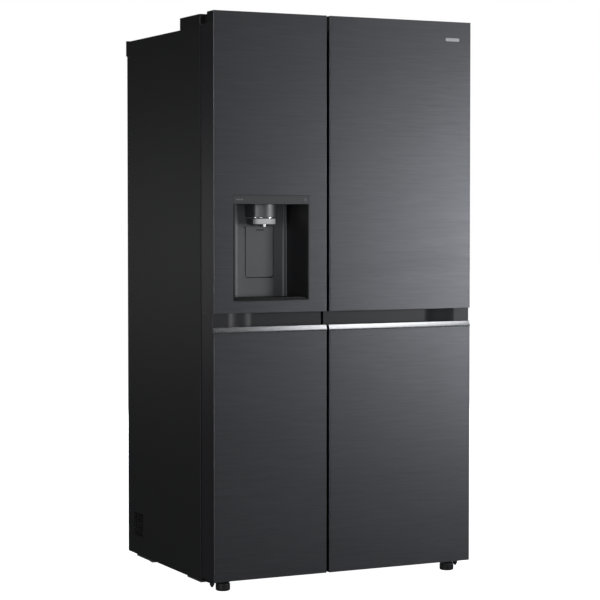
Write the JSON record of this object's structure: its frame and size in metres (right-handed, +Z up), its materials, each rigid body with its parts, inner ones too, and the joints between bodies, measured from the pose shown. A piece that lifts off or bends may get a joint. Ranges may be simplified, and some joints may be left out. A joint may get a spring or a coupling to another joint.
{
  "type": "side-by-side refrigerator freezer",
  "caption": "Side-by-side fridge freezer with two full-height doors, a pocket handle across both and an ice and water dispenser in the freezer door.",
  "frame": {"origin": "on the floor, at the centre of the whole outline", "axes": "+Z up, +Y back from the doors to the rear, +X to the right as you face the doors"},
  "size_m": [0.913, 0.735, 1.79],
  "materials": {
    "case_paint": "satin",
    "door_steel": "fine horizontal brushing, dark coat",
    "trim_metal": "brushed",
    "spout_metal": "metallised gloss",
    "zinc_steel": "zinc plated",
    "black_plastic": "fine texture",
    "grey_plastic": "satin",
    "white_plastic": "satin",
    "door_core": "white plastic liner, filled with rigid foam",
    "clear_plastic": "clear",
    "shelf_glass": "clear",
    "gasket_rubber": "matte",
    "foam": "rigid foam",
    "compressor_iron": "black paint",
    "coil_metal": "plain"
  },
  "bodies": {
    "cabinet": {"outer_case": "case_paint", "base_plate": "zinc_steel", "back_panel": "zinc_steel", "machine_cover": "zinc_steel", "rear_top_cover": "black_plastic", "insulation": "foam", "freezer_liner": "white_plastic", "fridge_liner": "white_plastic", "mullion_cover": "grey_plastic", "vent_grille": "black_plastic", "compressor": "compressor_iron", "condenser": "coil_metal", "drain_pan": "black_plastic", "evaporator": "coil_metal", "duct_cover": "white_plastic", "ice_maker": "grey_plastic", "freezer_shelf_lower": "shelf_glass", "freezer_shelf_middle": "shelf_glass", "fridge_shelf_lower": "shelf_glass", "fridge_shelf_middle": "shelf_glass", "fridge_shelf_upper": "shelf_glass", "hinge_top_left": "zinc_steel", "hinge_cover_left": "black_plastic", "hinge_bottom_left": "zinc_steel", "hinge_top_right": "zinc_steel", "hinge_cover_right": "black_plastic", "hinge_bottom_right": "zinc_steel"},
    "freezer_door": {"freezer_door_skin_upper": "door_steel", "freezer_door_skin_lower": "door_steel", "freezer_door_handle_pocket": "grey_plastic", "freezer_door_handle_trim": "trim_metal", "freezer_door_inner_panel": "door_core", "freezer_door_gasket": "gasket_rubber", "freezer_door_cap": "black_plastic", "dispenser_housing": "grey_plastic", "dispenser_panel": "grey_plastic", "dispenser_spout": "spout_metal", "drip_tray": "black_plastic", "ice_bank": "clear_plastic", "freezer_bin": "clear_plastic"},
    "fridge_door": {"fridge_door_skin_upper": "door_steel", "fridge_door_skin_lower": "door_steel", "fridge_door_handle_pocket": "grey_plastic", "fridge_door_handle_trim": "trim_metal", "fridge_door_inner_panel": "door_core", "fridge_door_gasket": "gasket_rubber", "fridge_door_cap": "black_plastic", "fridge_bin_upper": "clear_plastic", "fridge_bin_lower": "clear_plastic"},
    "paddle": {"dispenser_paddle": "grey_plastic"},
    "freezer_drawer_lower_body": {"freezer_drawer_lower": "clear_plastic"},
    "freezer_drawer_upper_body": {"freezer_drawer_upper": "clear_plastic"},
    "crisper_lower_body": {"crisper_lower": "clear_plastic"},
    "crisper_upper_body": {"crisper_upper": "clear_plastic"},
    "condenser_fan_body": {"condenser_fan": "black_plastic"},
    "evaporator_fan_body": {"evaporator_fan": "black_plastic"},
    "roller_left_body": {"roller_left": "white_plastic"},
    "roller_right_body": {"roller_right": "white_plastic"},
    "foot_left_body": {"foot_left": "gasket_rubber"},
    "foot_right_body": {"foot_right": "gasket_rubber"}
  },
  "joints": [
    {"name": "freezer_door_hinge", "type": "hinge", "parent": "cabinet", "child": "freezer_door", "pos_m": [-0.4375, -0.3075, 0], "axis": [0, 0, -1], "range_deg": [0, 110]},
    {"name": "fridge_door_hinge", "type": "hinge", "parent": "cabinet", "child": "fridge_door", "pos_m": [0.4375, -0.3075, 0], "axis": [0, 0, 1], "range_deg": [0, 110]},
    {"name": "paddle_push", "type": "hinge", "parent": "freezer_door", "child": "paddle", "pos_m": [-0.26, -0.275, 1.128], "axis": [1, 0, 0], "range_deg": [0, 6], "stiffness_Nm_per_rad": 3, "springref_deg": -4.58},
    {"name": "freezer_drawer_lower_slide", "type": "slide", "parent": "cabinet", "child": "freezer_drawer_lower_body", "axis": [0, -1, 0], "range_m": [0, 0.2304]},
    {"name": "freezer_drawer_upper_slide", "type": "slide", "parent": "cabinet", "child": "freezer_drawer_upper_body", "axis": [0, -1, 0], "range_m": [0, 0.2304]},
    {"name": "crisper_lower_slide", "type": "slide", "parent": "cabinet", "child": "crisper_lower_body", "axis": [0, -1, 0], "range_m": [0, 0.2304]},
    {"name": "crisper_upper_slide", "type": "slide", "parent": "cabinet", "child": "crisper_upper_body", "axis": [0, -1, 0], "range_m": [0, 0.2304]},
    {"name": "condenser_fan_spin", "type": "hinge", "parent": "cabinet", "child": "condenser_fan_body", "pos_m": [-0.2915, 0.2475, 0.125], "axis": [1, 0, 0], "continuous": true},
    {"name": "evaporator_fan_spin", "type": "hinge", "parent": "cabinet", "child": "evaporator_fan_body", "pos_m": [-0.246, 0.2655, 0.79], "axis": [0, 1, 0], "continuous": true},
    {"name": "roller_left_spin", "type": "hinge", "parent": "cabinet", "child": "roller_left_body", "pos_m": [-0.4105, 0.2325, 0.012], "axis": [1, 0, 0], "continuous": true},
    {"name": "roller_right_spin", "type": "hinge", "parent": "cabinet", "child": "roller_right_body", "pos_m": [0.4105, 0.2325, 0.012], "axis": [1, 0, 0], "continuous": true},
    {"name": "foot_left_turn", "type": "hinge", "parent": "cabinet", "child": "foot_left_body", "pos_m": [-0.4025, -0.3115, 0], "axis": [0, 0, 1], "continuous": true},
    {"name": "foot_right_turn", "type": "hinge", "parent": "cabinet", "child": "foot_right_body", "pos_m": [0.4025, -0.3115, 0], "axis": [0, 0, 1], "continuous": true}
  ],
  "couplings": [
    {"joint": "freezer_drawer_lower_slide", "follows": "freezer_door_hinge", "m_per_rad": 0.12},
    {"joint": "freezer_drawer_upper_slide", "follows": "freezer_door_hinge", "m_per_rad": 0.12},
    {"joint": "crisper_lower_slide", "follows": "fridge_door_hinge", "m_per_rad": 0.12},
    {"joint": "crisper_upper_slide", "follows": "fridge_door_hinge", "m_per_rad": 0.12}
  ]
}
